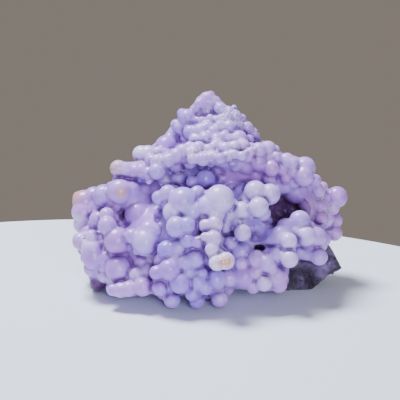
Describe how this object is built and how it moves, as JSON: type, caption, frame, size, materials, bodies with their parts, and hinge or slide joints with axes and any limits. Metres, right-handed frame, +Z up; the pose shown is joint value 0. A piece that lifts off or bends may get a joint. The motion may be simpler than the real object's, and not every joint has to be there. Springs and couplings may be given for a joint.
{
  "type": "botryoidal chalcedony specimen",
  "caption": "Mineral specimen of purple balls grown together, with a peak, an overhanging lip, a cave and a broken base it rests on.",
  "frame": {"origin": "on the resting surface, under the middle of the specimen's width and depth", "axes": "+Z up, +X to the specimen's right as seen from the front, -Y to the front"},
  "size_m": [0.0917, 0.0646, 0.0646],
  "materials": {
    "chalcedony": "waxy translucent mineral"
  },
  "bodies": {
    "root": {"chalcedony_cluster": "chalcedony"}
  },
  "joints": []
}
